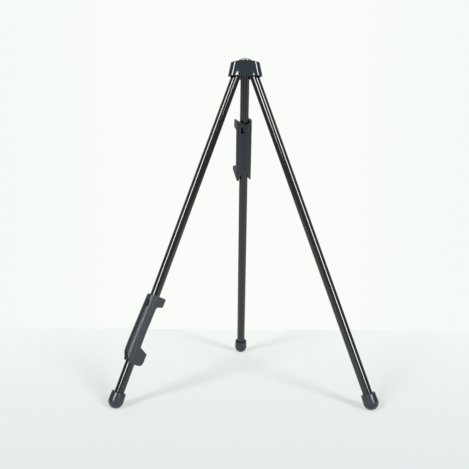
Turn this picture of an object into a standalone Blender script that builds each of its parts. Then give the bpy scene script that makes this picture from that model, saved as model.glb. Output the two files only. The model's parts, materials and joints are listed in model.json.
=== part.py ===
"""Folding tabletop display easel: three steel tube legs on a moulded hub, with two holders
that slide and turn on the left and rear legs. Metres, +Z up, floor at z = 0."""

import math

import bmesh
import bpy
from mathutils import Vector

# Clearance kept between pieces that touch or run on each other
GAP = 0.0003

# Legs
TUBE_OD = 0.009525
TUBE_WALL = 0.0008
LEG_TILT = math.radians(22.3)
LEG_REACH = 0.3535
LEG_AZIMUTHS = {"left": math.radians(210), "rear": math.radians(90), "right": math.radians(330)}

# Moulded plug that closes the top of a leg tube and carries its pivot pin
PLUG_OVER_PIVOT = 0.0021
PLUG_HEAD = 0.0043
PLUG_EDGE = 0.0005
PLUG_STEM = 0.0150
PIN_R = 0.0008
PIN_CHAMFER = 0.0002

# Rubber feet
FOOT_WALL = 0.00235
FOOT_RIM_WALL = 0.0020
FOOT_CUP = 0.0086
FOOT_SOLE = 0.0058
FOOT_RIM_ROUND = 0.0006

# Hub shell: a domed top over a skirt of three sockets, which swell out of its walls lower down
DOME_R = 0.0460
TOP_WALL = 0.0034
SKIRT_HEIGHT = 0.0165
SKIRT_WALL = 0.0010
SKIRT_EDGE = 0.0006
SKIRT_TO_TUBE = 0.0027
SOCKET_PAST_TUBE = 0.0013
SOCKET_FLARE = 0.0040
SOCKET_SWELL = 0.0015
SOCKET_FLANK = 0.0061

# Cap in the shell's top, and the carrier that holds the pivot pins
CAP_R = 0.0076
CAP_HEIGHT = 0.0033
CAP_EDGE = 0.0004
CAP_SEAT = 0.0006
CAP_ROOF = 0.0013
PLATE = 0.0020
POST_DROP = 0.0036
BOSS_R = 0.0023
BOSS_DROP = 0.0020
BOSS_TO_PLUG = 0.0004
SCREW_R = 0.0012
SCREW_HEAD_R = 0.0023
SCREW_HEAD = 0.0012
SCREW_TIP = 0.0008
WASHER_R = 0.0030
WASHER = 0.0005

# Holders: a half-round trough with two pairs of ears, snapped over the tube
HOLDER_LENGTH = 0.0690
HOLDER_TO_TUBE = 0.0021
HOLDER_WALL = 0.0015
HOLDER_FRONT = 0.0025
HOLDER_BACK_TAPER = 0.0010
HOLDER_TAPER_LENGTH = 0.0200
HOLDER_END_ROUND = 0.0008
UPPER_EAR_PAST_TUBE = 0.0037
UPPER_EAR_LENGTH = 0.0088
UPPER_EAR_SLOPE = math.radians(18)
UPPER_EAR_ROUND = 0.0018
EAR_FILLET = 0.0026
LOWER_EAR_PAST_TUBE = 0.0068
LOWER_EAR_LENGTH = 0.0176
LOWER_EAR_ROUND = 0.0026
REST_SLOPE = math.radians(27)
REST_ROUND = 0.0014
WINDOW_ANGLE = math.radians(33)
WINDOW_WIDTH = 0.0032
WINDOW_LENGTH = 0.0070
WINDOW_FROM_TOP = 0.0030
ARCH_HEIGHT = 0.0100
ARCH_SIDE = 0.0006
ARCH_BEHIND_TUBE = 0.0028
LIP_LENGTH = 0.0050
LIP_GRIP = 0.0014
LIP_THICKNESS = 0.0009
LOWER_LIP_FROM_END = 0.0045

# Grip sleeve inside each holder, and the webs that keep it there
SLEEVE_FROM_TOP = 0.0220
SLEEVE_LENGTH = 0.0100
SLEEVE_OPENING = math.radians(110)
WEB = 0.0014
HOLDER_LEAN = math.radians(2.3)

# Where the holders stand on their legs, and their turn from facing away from the hub
LEFT_HOLDER_OVER_FOOT = 0.0300
LEFT_HOLDER_TURN = math.radians(175)
REAR_HOLDER_BELOW_PIVOT = 0.0527
REAR_HOLDER_TURN = math.radians(22)

# Sides of turned pieces, and the largest step along an arc
HUB_SIDES = 60
TUBE_SIDES = 36
FOOT_SIDES = 32
PIN_SIDES = 16
ARC_STEP = math.radians(12)
FLANK_STEPS = 5

# Sizes that follow from those above
TUBE_R = TUBE_OD / 2
TUBE_BORE_R = TUBE_R - TUBE_WALL
FOOT_BORE_R = TUBE_R + GAP
FOOT_END_R = FOOT_BORE_R + FOOT_WALL
PLUG_INNER_EDGE = PLUG_OVER_PIVOT * math.sin(LEG_TILT) + TUBE_R * math.cos(LEG_TILT)
PIVOT_R = BOSS_R + BOSS_TO_PLUG + PLUG_INNER_EDGE
FOOT_RING_R = PIVOT_R + LEG_REACH * math.sin(LEG_TILT)
HUB_Y = -FOOT_RING_R / 4
PIVOT_Z = FOOT_END_R + LEG_REACH * math.cos(LEG_TILT)
STOP_RISE = (
    (PLUG_OVER_PIVOT - PLUG_EDGE) * math.cos(LEG_TILT)
    + (TUBE_R - PLUG_EDGE) * math.sin(LEG_TILT)
    + PLUG_EDGE
)
PLATE_UNDER_Z = PIVOT_Z + STOP_RISE + GAP
PLATE_TOP_Z = PLATE_UNDER_Z + PLATE
ROOF_UNDER_Z = PLATE_TOP_Z + GAP
CROWN_Z = ROOF_UNDER_Z + TOP_WALL
SKIRT_Z = CROWN_Z - SKIRT_HEIGHT
SEAT_R = CAP_R + GAP
RIM_Z = CROWN_Z - DOME_R + math.sqrt(DOME_R**2 - SEAT_R**2)
SEAT_Z = RIM_Z - CAP_SEAT
POST_Z = PIVOT_Z - POST_DROP
TUBE_AT_SKIRT_R = PIVOT_R + (PIVOT_Z - SKIRT_Z) * math.tan(LEG_TILT) + TUBE_R / math.cos(LEG_TILT)
SKIRT_R = TUBE_AT_SKIRT_R + SKIRT_TO_TUBE + SKIRT_WALL
SOCKET_R = TUBE_R + SOCKET_PAST_TUBE
SOCKET_REACH = SKIRT_R - SOCKET_R
TROUGH_R = TUBE_R + HOLDER_TO_TUBE
HOLDER_HALF_WIDTH = TROUGH_R + HOLDER_WALL
UPPER_EAR_REACH = TUBE_R + UPPER_EAR_PAST_TUBE
LOWER_EAR_REACH = TUBE_R + LOWER_EAR_PAST_TUBE
SLEEVE_PLAY = GAP + SLEEVE_LENGTH / 2 * math.sin(HOLDER_LEAN)
SLEEVE_R = TROUGH_R - SLEEVE_PLAY
SLEEVE_BORE_R = TUBE_R + GAP
HOLDER_TOP = SLEEVE_FROM_TOP
HOLDER_BOTTOM = SLEEVE_FROM_TOP - HOLDER_LENGTH
LEFT_SLEEVE = LEG_REACH - FOOT_CUP - LEFT_HOLDER_OVER_FOOT + HOLDER_BOTTOM
REAR_SLEEVE = REAR_HOLDER_BELOW_PIVOT + SLEEVE_FROM_TOP

# Colour, roughness and metallic value of each finish
GLOSS_BLACK_PAINT = ((0.012, 0.012, 0.014), 0.18, 0.0)
GLOSS_BLACK_PLASTIC = ((0.014, 0.015, 0.017), 0.16, 0.0)
GREY_PLASTIC = ((0.065, 0.080, 0.098), 0.50, 0.0)
GREY_RUBBER = ((0.062, 0.070, 0.080), 0.62, 0.0)
BLACK_NYLON = ((0.020, 0.021, 0.023), 0.45, 0.0)
BLACK_RUBBER = ((0.018, 0.018, 0.020), 0.75, 0.0)
ZINC_STEEL = ((0.55, 0.55, 0.56), 0.35, 1.0)


def clear_scene():
    for obj in list(bpy.data.objects):
        bpy.data.objects.remove(obj, do_unlink=True)


def new_collection(name):
    collection = bpy.data.collections.new(name)
    bpy.context.scene.collection.children.link(collection)
    return collection


def finish(name, colour, roughness, metallic):
    material = bpy.data.materials.new(name)
    material.use_nodes = True
    shader = material.node_tree.nodes["Principled BSDF"]
    shader.inputs["Base Color"].default_value = (*colour, 1.0)
    shader.inputs["Roughness"].default_value = roughness
    shader.inputs["Metallic"].default_value = metallic
    material.diffuse_color = (*colour, 1.0)
    return material


def arc(centre, radius, start, end, steps=None):
    """Points along an arc from one angle to another, both ends included. Rounding drops the
    last digits, so that arcs which end on the same plane meet on it exactly."""
    steps = steps or max(2, math.ceil(abs(end - start) / ARC_STEP))
    turns = [start + (end - start) * i / steps for i in range(steps + 1)]
    points = [(centre[0] + radius * math.cos(a), centre[1] + radius * math.sin(a)) for a in turns]
    return [(round(x, 12), round(y, 12)) for x, y in points]


def filleted(corners):
    """A closed outline through corners given as (x, y, radius), each rounded to its radius."""
    points = []
    for i, (x, y, radius) in enumerate(corners):
        here = Vector((x, y))
        if not radius:
            points.append((x, y))
            continue
        back = (Vector(corners[i - 1][:2]) - here).normalized()
        ahead = (Vector(corners[(i + 1) % len(corners)][:2]) - here).normalized()
        half = back.angle(ahead) / 2
        centre = here + (back + ahead).normalized() * radius / math.sin(half)
        first = here + back * radius / math.tan(half) - centre
        turn = first.angle_signed(here + ahead * radius / math.tan(half) - centre)
        start = math.atan2(first.y, first.x)
        points += arc(centre, radius, start, start - turn)
    return points


def bake(obj):
    """The object's evaluated mesh, welded, with its helpers removed."""
    built = obj.evaluated_get(bpy.context.evaluated_depsgraph_get())
    mesh = bpy.data.meshes.new_from_object(built)
    mesh.transform(built.matrix_world)
    helpers = [m.object for m in obj.modifiers if m.type == "BOOLEAN"]
    for helper in [obj, *helpers]:
        bpy.data.objects.remove(helper, do_unlink=True)
    shape = bmesh.new()
    shape.from_mesh(mesh)
    bmesh.ops.remove_doubles(shape, verts=shape.verts, dist=1e-6)
    bmesh.ops.recalc_face_normals(shape, faces=shape.faces)
    shape.to_mesh(mesh)
    shape.free()
    mesh.shade_smooth()
    mesh.set_sharp_from_angle(angle=math.radians(32))
    return mesh


def helper(mesh_or_curve):
    obj = bpy.data.objects.new("helper", mesh_or_curve)
    CUTTERS.objects.link(obj)
    return obj


def turned(profile, sides, closed=False):
    """A solid of revolution about Z. The profile runs down its outer side at +X."""
    shape = bmesh.new()
    verts = [shape.verts.new((x, 0, z)) for x, z in profile]
    for a, b in zip(verts, verts[1:]):
        shape.edges.new((a, b))
    if closed:
        shape.edges.new((verts[-1], verts[0]))
    mesh = bpy.data.meshes.new("profile")
    shape.to_mesh(mesh)
    shape.free()
    obj = helper(mesh)
    screw = obj.modifiers.new("Turn", "SCREW")
    screw.steps = sides
    screw.render_steps = sides
    screw.use_merge_vertices = True
    screw.merge_threshold = 0.00001
    screw.use_normal_calculate = True
    return bake(obj)


def loft(rings, closed=False):
    """A skin through rings of as many points each, closed on itself or capped at both ends."""
    shape = bmesh.new()
    rows = [[shape.verts.new(point) for point in ring] for ring in rings]
    for upper, lower in zip(rows, [*rows[1:], rows[0]] if closed else rows[1:]):
        for i in range(len(upper)):
            shape.faces.new((upper[i - 1], upper[i], lower[i], lower[i - 1]))
    if not closed:
        shape.faces.new(rows[0])
        shape.faces.new(rows[-1])
    mesh = bpy.data.meshes.new("loft")
    shape.to_mesh(mesh)
    shape.free()
    return bake(helper(mesh))


def prism(outline, thickness):
    """A flat outline in XY, given thickness along Z about its own plane."""
    curve = bpy.data.curves.new("outline", "CURVE")
    curve.dimensions = "2D"
    curve.fill_mode = "BOTH"
    curve.extrude = thickness / 2
    spline = curve.splines.new("POLY")
    spline.points.add(len(outline) - 1)
    for point, (x, y) in zip(spline.points, outline):
        point.co = (x, y, 0, 1)
    spline.use_cyclic_u = True
    return bake(helper(curve))


def box(size):
    """A box centred on the origin."""
    shape = bmesh.new()
    bmesh.ops.create_cube(shape, size=1)
    bmesh.ops.scale(shape, verts=shape.verts, vec=size)
    mesh = bpy.data.meshes.new("box")
    shape.to_mesh(mesh)
    shape.free()
    return mesh


def boolean(body, operation, mesh, location=(0, 0, 0), rotation=(0, 0, 0)):
    """Adds one Boolean to a helper body, with a placed mesh as its other half."""
    tool = helper(mesh)
    tool.location = location
    tool.rotation_euler = rotation
    tool.hide_render = True
    tool.display_type = "WIRE"
    modifier = body.modifiers.new(operation.title(), "BOOLEAN")
    modifier.operation = operation
    modifier.solver = "EXACT"
    modifier.object = tool


def empty(name, location, rotation, parent=None):
    obj = bpy.data.objects.new(name, None)
    obj.empty_display_size = 0.01
    obj.location = location
    obj.rotation_euler = rotation
    obj.parent = parent
    EASEL.objects.link(obj)
    return obj


def place(name, mesh, look, parent, location=(0, 0, 0), rotation=(0, 0, 0)):
    """Puts one named piece in the object's collection, with its own material."""
    obj = bpy.data.objects.new(name, mesh)
    obj.location = location
    obj.rotation_euler = rotation
    obj.parent = parent
    obj.data.materials.clear()
    obj.data.materials.append(None)
    EASEL.objects.link(obj)
    obj.material_slots[0].link = "OBJECT"
    obj.material_slots[0].material = finish(name, *look)
    return obj


def socket_reach(z):
    """Distance of a socket's centre from the hub's axis at a height."""
    return SOCKET_REACH - SOCKET_FLARE * (z - SKIRT_Z) / SKIRT_HEIGHT


def socket_swell(z):
    """How far the sockets stand out of the walls between them at a height."""
    return SOCKET_SWELL * (CROWN_Z - z) / SKIRT_HEIGHT


def hub_section(z, inset):
    """The hub's outline at a height, set in from its outer face: an arc round each socket,
    then a wall that dips between two sockets."""
    reach = socket_reach(z)
    wall = reach * math.sqrt(3)
    flank = min(SOCKET_FLANK, wall / 2 - GAP)
    flanks = [flank * i / FLANK_STEPS for i in range(1, FLANK_STEPS + 1)]
    points = []
    for azimuth in sorted(LEG_AZIMUTHS.values()):
        facing = azimuth + math.pi / 3
        out = Vector((math.cos(facing), math.sin(facing)))
        along = Vector((-out.y, out.x))
        centre = (reach * math.cos(azimuth), reach * math.sin(azimuth))
        points += arc(centre, SOCKET_R - inset, azimuth - math.pi / 3, facing)
        start = Vector(points[-1])
        for run in [*flanks, *(wall - step for step in reversed(flanks))]:
            near = min(run, wall - run) / flank
            dip = socket_swell(z) * (1 - math.cos(math.pi * near)) / 2
            points.append(tuple(start + along * run - out * dip))
    return points


def hub_ring(z, inset):
    return [(x, y, z) for x, y in hub_section(z, inset)]


def round_ring(radius, z):
    """A circle about the hub's axis with a point for each point of its outline."""
    count = len(hub_section(z, 0))
    start = min(LEG_AZIMUTHS.values()) - math.pi / 3
    points = arc((0, 0), radius, start, start + math.tau, count)[:-1]
    return [(x, y, z) for x, y in points]


def on_dome(x, y):
    return (x, y, CROWN_Z - DOME_R + math.sqrt(DOME_R**2 - x**2 - y**2))


def rim_ring(inset, drop):
    """The hub's outline where its skirt meets the dome, or a drop below that."""
    points = hub_ring(CROWN_Z, inset)
    for _ in range(4):
        heights = [on_dome(x, y)[2] - drop for x, y, _ in points]
        points = [(*hub_section(z, inset)[i], z) for i, z in enumerate(heights)]
    return points


def lean_play(distance):
    """How far a holder's lean can shift it at a distance from its sleeve."""
    return abs(distance) * math.sin(HOLDER_LEAN)


def hub_shell():
    hole_r = SCREW_R + GAP
    turns = [math.radians(a) for a in (90, 60, 30, 0)]
    rims = [rim_ring(SKIRT_EDGE * (1 - math.cos(a)), SKIRT_EDGE * (1 - math.sin(a))) for a in turns]
    seat = round_ring(SEAT_R, RIM_Z)
    dome = [on_dome((x + u) / 2, (y + v) / 2) for (x, y, _), (u, v, _) in zip(seat, rims[0])]
    return loft(
        [
            seat,
            dome,
            *rims,
            hub_ring(SKIRT_Z, 0),
            hub_ring(SKIRT_Z, SKIRT_WALL),
            hub_ring(POST_Z, SKIRT_WALL),
            hub_ring(ROOF_UNDER_Z, SKIRT_WALL),
            round_ring(hole_r, ROOF_UNDER_Z),
            round_ring(hole_r, SEAT_Z),
            round_ring(SEAT_R, SEAT_Z),
        ],
        closed=True,
    )


def hub_cap():
    base = SEAT_Z + GAP
    edge = RIM_Z + CAP_EDGE
    crown = RIM_Z + CAP_HEIGHT
    rise = crown - edge
    dome_r = (CAP_R**2 + rise**2) / (2 * rise)
    reach = math.asin(CAP_R / dome_r)
    pocket_r = WASHER_R + 2 * GAP
    profile = [
        *arc((0, crown - dome_r), dome_r, math.pi / 2, math.pi / 2 - reach),
        (CAP_R, base),
        (pocket_r, base),
        (pocket_r, crown - CAP_ROOF),
        (0, crown - CAP_ROOF),
    ]
    return turned(profile, HUB_SIDES)


def pin_hole():
    """Cutter for a pivot pin's hole, along Z and longer than anything it crosses."""
    half = SKIRT_R
    radius = PIN_R + GAP
    return turned([(0, half), (radius, half), (radius, -half), (0, -half)], PIN_SIDES)


def slot_outline():
    """Three arms from the hub's axis, each as wide as a tube with its clearance."""
    half = TUBE_R + GAP
    points = []
    for azimuth in sorted(LEG_AZIMUTHS.values()):
        along = Vector((math.cos(azimuth), math.sin(azimuth)))
        across = Vector((-along.y, along.x))
        corner = azimuth + math.pi / 3
        points.append(tuple(along * SKIRT_R - across * half))
        points.append(tuple(along * SKIRT_R + across * half))
        reach = half / math.sin(math.pi / 3)
        points.append((reach * math.cos(corner), reach * math.sin(corner)))
    return points


def leg_carrier():
    inset = SKIRT_WALL + GAP
    body = helper(loft([hub_ring(PLATE_TOP_Z, inset), hub_ring(POST_Z, inset)]))
    depth = 2 * (PLATE_UNDER_Z - POST_Z)
    boolean(body, "DIFFERENCE", prism(slot_outline(), depth), (0, 0, PLATE_UNDER_Z - depth / 2))
    boss_top = (PLATE_TOP_Z + PLATE_UNDER_Z) / 2
    boss_end = PLATE_UNDER_Z - BOSS_DROP
    boss = [(0, boss_top), (BOSS_R, boss_top), (BOSS_R, boss_end), (0, boss_end)]
    boolean(body, "UNION", turned(boss, PIN_SIDES))
    for azimuth in LEG_AZIMUTHS.values():
        at = (PIVOT_R * math.cos(azimuth), PIVOT_R * math.sin(azimuth), PIVOT_Z)
        boolean(body, "DIFFERENCE", pin_hole(), at, (math.pi / 2, 0, azimuth))
    screw_r = SCREW_R + GAP
    over = PLATE_TOP_Z + PLATE
    under = boss_end - PLATE
    hole = [(0, over), (screw_r, over), (screw_r, under), (0, under)]
    boolean(body, "DIFFERENCE", turned(hole, PIN_SIDES))
    return bake(body)


def carrier_screw():
    under_head = SEAT_Z + GAP + WASHER + GAP
    end = PLATE_UNDER_Z - BOSS_DROP
    crown = under_head + SCREW_HEAD
    shoulder = under_head + SCREW_HEAD / 2
    profile = [
        (0, crown),
        (SCREW_HEAD_R * 0.7, crown),
        (SCREW_HEAD_R, shoulder),
        (SCREW_HEAD_R, under_head),
        (SCREW_R, under_head),
        (SCREW_R, end + SCREW_TIP),
        (0, end),
    ]
    return turned(profile, PIN_SIDES)


def screw_washer():
    low = SEAT_Z + GAP
    high = low + WASHER
    bore = SCREW_R + GAP
    profile = [(bore, high), (WASHER_R, high), (WASHER_R, low), (bore, low)]
    return turned(profile, PIN_SIDES * 2, closed=True)


def pivot_pin():
    """A pin along Z that ends just inside the carrier's walls, which stand at 60 degrees to it."""
    wall = socket_reach(PIVOT_Z) / 2 + SOCKET_R - SKIRT_WALL - GAP - socket_swell(PIVOT_Z)
    half = (wall - (PIVOT_R + PIN_R) / 2) / math.sin(math.pi / 3) - GAP
    profile = [
        (0, half),
        (PIN_R - PIN_CHAMFER, half),
        (PIN_R, half - PIN_CHAMFER),
        (PIN_R, PIN_CHAMFER - half),
        (PIN_R - PIN_CHAMFER, -half),
        (0, -half),
    ]
    return turned(profile, PIN_SIDES)


def leg_plug():
    stem_r = TUBE_BORE_R - GAP
    under_head = PLUG_OVER_PIVOT - PLUG_HEAD
    profile = [
        (0, PLUG_OVER_PIVOT),
        *arc((TUBE_R - PLUG_EDGE, PLUG_OVER_PIVOT - PLUG_EDGE), PLUG_EDGE, math.pi / 2, 0),
        (TUBE_R, under_head),
        (stem_r, under_head),
        (stem_r, PLUG_EDGE - PLUG_STEM),
        (stem_r - PLUG_EDGE, -PLUG_STEM),
        (0, -PLUG_STEM),
    ]
    body = helper(turned(profile, TUBE_SIDES))
    boolean(body, "DIFFERENCE", pin_hole(), (0, 0, 0), (math.pi / 2, 0, 0))
    return bake(body)


def foot_floor():
    """Height of the floor of a foot's bore, in its leg's frame."""
    return FOOT_SOLE - FOOT_END_R - LEG_REACH


def leg_tube():
    top = PLUG_OVER_PIVOT - PLUG_HEAD - GAP
    end = foot_floor() + GAP
    profile = [(TUBE_BORE_R, top), (TUBE_R, top), (TUBE_R, end), (TUBE_BORE_R, end)]
    return turned(profile, TUBE_SIDES, closed=True)


def foot():
    floor = foot_floor()
    rim = FOOT_CUP - LEG_REACH
    rim_centre = (FOOT_BORE_R + FOOT_RIM_WALL - FOOT_RIM_ROUND, rim - FOOT_RIM_ROUND)
    profile = [
        (0, floor),
        (FOOT_BORE_R, floor),
        (FOOT_BORE_R, rim),
        *arc(rim_centre, FOOT_RIM_ROUND, math.pi / 2, 0),
        *arc((0, -LEG_REACH), FOOT_END_R, 0, -math.pi / 2),
    ]
    return turned(profile, FOOT_SIDES)


def holder_side():
    """Side outline of a holder, hooks towards +X and up the leg towards +Y."""
    back = -HOLDER_HALF_WIDTH
    ear_tip = HOLDER_TOP - UPPER_EAR_LENGTH
    ear_root = ear_tip - (UPPER_EAR_REACH - HOLDER_FRONT) * math.tan(UPPER_EAR_SLOPE)
    rest_root = HOLDER_BOTTOM + LOWER_EAR_LENGTH
    rest_tip = rest_root - (LOWER_EAR_REACH - HOLDER_FRONT) * math.tan(REST_SLOPE)
    return filleted(
        [
            (back, HOLDER_TOP, HOLDER_END_ROUND),
            (back, HOLDER_BOTTOM + HOLDER_TAPER_LENGTH, HOLDER_TAPER_LENGTH),
            (back + HOLDER_BACK_TAPER, HOLDER_BOTTOM, HOLDER_END_ROUND),
            (LOWER_EAR_REACH, HOLDER_BOTTOM, LOWER_EAR_ROUND),
            (LOWER_EAR_REACH, rest_tip, REST_ROUND),
            (HOLDER_FRONT, rest_root, REST_ROUND),
            (HOLDER_FRONT, ear_root, EAR_FILLET),
            (UPPER_EAR_REACH, ear_tip, UPPER_EAR_ROUND),
            (UPPER_EAR_REACH, HOLDER_TOP, UPPER_EAR_ROUND),
        ]
    )


def trough_outline(radius, front):
    """A half round behind the tube's axis with straight sides forward to a front edge."""
    return [*arc((0, 0), radius, math.pi / 2, 3 * math.pi / 2), (front, -radius), (front, radius)]


def web_outline():
    """A ledge round the inside of the trough, open at the front."""
    outer = TROUGH_R + HOLDER_WALL / 3
    reach = SLEEVE_LENGTH / 2 + SLEEVE_PLAY + WEB
    inner = TUBE_R + GAP + lean_play(reach)
    return [
        *arc((0, 0), outer, math.pi / 2, 3 * math.pi / 2),
        *arc((0, 0), inner, 3 * math.pi / 2, math.pi / 2),
    ]


def lip_outline(distance):
    """Snap lip on one ear's inner face, in front of the tube at a distance from the sleeve."""
    root = TROUGH_R + HOLDER_WALL / 3
    near = TUBE_R + GAP + lean_play(distance)
    tip = TUBE_R - LIP_GRIP
    far = near + LIP_THICKNESS
    return [(near, root), (near, tip), (near + LIP_THICKNESS / 2, tip), (far, root)]


def mirrored(outline):
    return [(x, -y) for x, y in reversed(outline)]


def holder():
    """The holder about its tube's axis: X along the hooks, Z up the leg, sleeve at the origin."""
    middle = (HOLDER_TOP + HOLDER_BOTTOM) / 2
    over = HOLDER_LENGTH + 4 * HOLDER_WALL
    body = helper(prism(trough_outline(HOLDER_HALF_WIDTH, LOWER_EAR_REACH + HOLDER_WALL), over))
    body.location.z = middle
    side = prism(holder_side(), 2 * HOLDER_HALF_WIDTH + 2 * HOLDER_WALL)
    boolean(body, "INTERSECT", side, (0, 0, 0), (math.pi / 2, 0, 0))
    bore = prism(trough_outline(TROUGH_R, LOWER_EAR_REACH + 2 * HOLDER_WALL), over + HOLDER_WALL)
    boolean(body, "DIFFERENCE", bore, (0, 0, middle))

    window_z = HOLDER_TOP - WINDOW_FROM_TOP - WINDOW_LENGTH / 2
    for turn in (-WINDOW_ANGLE, WINDOW_ANGLE):
        at = (-HOLDER_HALF_WIDTH * math.cos(turn), -HOLDER_HALF_WIDTH * math.sin(turn), window_z)
        window = box((4 * HOLDER_WALL, WINDOW_WIDTH, WINDOW_LENGTH))
        boolean(body, "DIFFERENCE", window, at, (0, 0, turn))

    half_width = HOLDER_HALF_WIDTH - ARCH_SIDE
    unit_arch = [*arc((0, 0), 1, 0, math.pi), (-1, -1), (1, -1)]
    arch = [(x * half_width, y * ARCH_HEIGHT) for x, y in unit_arch]
    arch_x = -ARCH_BEHIND_TUBE - HOLDER_HALF_WIDTH
    turn = (math.pi / 2, 0, math.pi / 2)
    boolean(body, "DIFFERENCE", prism(arch, 2 * HOLDER_HALF_WIDTH), (arch_x, 0, HOLDER_BOTTOM), turn)

    web_z = SLEEVE_LENGTH / 2 + GAP + lean_play(SLEEVE_R) + WEB / 2
    for z in (-web_z, web_z):
        boolean(body, "UNION", prism(web_outline(), WEB), (0, 0, z))
    upper_lip_z = HOLDER_TOP - WINDOW_FROM_TOP - LIP_LENGTH / 2
    lower_lip_z = HOLDER_BOTTOM + LOWER_LIP_FROM_END + LIP_LENGTH / 2
    for z, end in ((upper_lip_z, HOLDER_TOP), (lower_lip_z, HOLDER_BOTTOM)):
        outline = lip_outline(end)
        for half in (outline, mirrored(outline)):
            boolean(body, "UNION", prism(half, LIP_LENGTH), (0, 0, z))
    return bake(body)


def grip_sleeve():
    """A split sleeve about Z, open towards the holder's hooks."""
    start = SLEEVE_OPENING / 2
    end = 2 * math.pi - start
    outline = [*arc((0, 0), SLEEVE_R, start, end), *arc((0, 0), SLEEVE_BORE_R, end, start)]
    return prism(outline, SLEEVE_LENGTH)


def build_hub(hub):
    place("hub_shell", hub_shell(), GLOSS_BLACK_PLASTIC, hub)
    place("hub_cap", hub_cap(), GLOSS_BLACK_PLASTIC, hub)
    place("leg_carrier", leg_carrier(), BLACK_NYLON, hub)
    place("carrier_screw", carrier_screw(), ZINC_STEEL, hub)
    place("screw_washer", screw_washer(), ZINC_STEEL, hub)


def build_legs(hub):
    pin, plug, tube, end = pivot_pin(), leg_plug(), leg_tube(), foot()
    pivots = {}
    for side, azimuth in LEG_AZIMUTHS.items():
        at = (PIVOT_R * math.cos(azimuth), PIVOT_R * math.sin(azimuth), PIVOT_Z)
        place(f"{side}_pivot_pin", pin, ZINC_STEEL, hub, at, (math.pi / 2, 0, azimuth))
        pivot = empty(f"{side}_leg_pivot", at, (0, -LEG_TILT, azimuth), hub)
        place(f"{side}_leg_plug", plug, BLACK_NYLON, pivot)
        place(f"{side}_leg_tube", tube, GLOSS_BLACK_PAINT, pivot)
        place(f"{side}_foot", end, GREY_RUBBER, pivot)
        pivots[side] = pivot
    return pivots


def build_holders(pivots):
    clip, sleeve = holder(), grip_sleeve()
    stands = {
        "left": (LEFT_SLEEVE, LEFT_HOLDER_TURN, HOLDER_LEAN),
        "rear": (REAR_SLEEVE, REAR_HOLDER_TURN, 0),
    }
    for side, (distance, turn, lean) in stands.items():
        axis = empty(f"{side}_holder_axis", (0, 0, -distance), (0, 0, turn), pivots[side])
        place(f"{side}_grip_sleeve", sleeve, BLACK_RUBBER, axis)
        place(f"{side}_holder", clip, GREY_PLASTIC, axis, (0, 0, 0), (0, lean, 0))


clear_scene()
EASEL = new_collection("display_easel")
CUTTERS = new_collection("cutters")
hub_axis = empty("hub_axis", (0, HUB_Y, 0), (0, 0, 0))
build_hub(hub_axis)
build_holders(build_legs(hub_axis))
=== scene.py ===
"""Looks of a folding display easel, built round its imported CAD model.

The file is laid out as an add-on: settings, one operator for each group of pieces, and a panel.
It is run as a script. Lengths are metres, +Z is up and the easel stands on z = 0."""

import json
import math

import bmesh
import bpy
from bpy.props import FloatProperty, FloatVectorProperty, PointerProperty
from mathutils import Matrix, Vector


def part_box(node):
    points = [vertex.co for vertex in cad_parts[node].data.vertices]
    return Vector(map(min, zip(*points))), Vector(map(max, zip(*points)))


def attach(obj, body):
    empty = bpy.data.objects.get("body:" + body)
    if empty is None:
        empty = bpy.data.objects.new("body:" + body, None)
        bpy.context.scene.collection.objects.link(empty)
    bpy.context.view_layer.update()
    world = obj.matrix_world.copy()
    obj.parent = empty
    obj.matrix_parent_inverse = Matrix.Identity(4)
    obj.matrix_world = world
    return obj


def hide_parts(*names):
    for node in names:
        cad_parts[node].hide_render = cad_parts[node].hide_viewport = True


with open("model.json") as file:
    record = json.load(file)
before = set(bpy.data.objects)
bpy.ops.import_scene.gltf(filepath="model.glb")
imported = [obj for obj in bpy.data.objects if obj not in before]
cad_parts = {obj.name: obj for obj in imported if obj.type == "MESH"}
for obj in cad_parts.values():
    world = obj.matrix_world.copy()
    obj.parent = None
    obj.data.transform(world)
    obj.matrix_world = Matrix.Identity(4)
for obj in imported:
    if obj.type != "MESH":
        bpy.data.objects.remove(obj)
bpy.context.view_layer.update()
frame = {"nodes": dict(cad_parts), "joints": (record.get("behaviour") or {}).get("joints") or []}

bl_info = {
    "name": "Folding display easel",
    "version": (1, 0, 0),
    "blender": (4, 5, 0),
    "location": "View3D > Sidebar > Easel",
    "description": "Builds the finished pieces of a folding display easel on its CAD frame",
    "category": "Object",
}

SIDES = ("left", "rear", "right")
HOLDER_SIDES = ("left", "rear")
JOINTS = {joint["name"]: joint for joint in frame["joints"]}
SLIDE = Vector(JOINTS["rear_holder_slide"]["axis"])
SHELL_LOW, SHELL_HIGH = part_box("hub_shell")
CAP_LOW, CAP_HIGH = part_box("hub_cap")
CARRIER_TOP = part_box("leg_carrier")[1].z

# The attribute that keeps each point's place in its piece's own frame
OWN = "own_place"

# How finely curves are drawn, in steps
TURN_STEPS = 96
CAP_TURN_STEPS = 128
CAP_ARC_STEPS = 24
FOOT_ARC_STEPS = 28
SOCKET_STEPS = 40
FLANK_STEPS = 14
ARCH_STEPS = 36
DIP_STEPS = 18
ROLL_STEPS = 24
TAPER_STEPS = 10
LEDGE_STEPS = 48
SLEEVE_STEPS = 72

# Rows of points on the hub's shell: shares of a face, and turns of a rounding in degrees
DOME_ROWS = (0.06, 0.2, 0.4, 0.6, 0.8, 0.94)
RIM_TURNS = (90, 75, 60, 45, 30, 15, 0)
SKIRT_ROWS = (0.04, 0.2, 0.4, 0.6, 0.8, 0.96)
EDGE_TURNS = (0, 30, 60, 90)
INSIDE_ROWS = (0.05, 0.5, 0.95, 1.0)
SOCKET_TURNS = (90, 210, 330)
RIM_PASSES = 4

# Points this close are one point, and edges this sharp are rounded
MERGE = 1e-7
ON_PLANE = 1e-8
SLACK = 1e-6
SHELL_CRISP = math.radians(50)
HOLDER_CRISP = math.radians(40)

# Lips and ledges start this far into the holder's wall, as a share of it
BEDDED = 2 / 3

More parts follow.
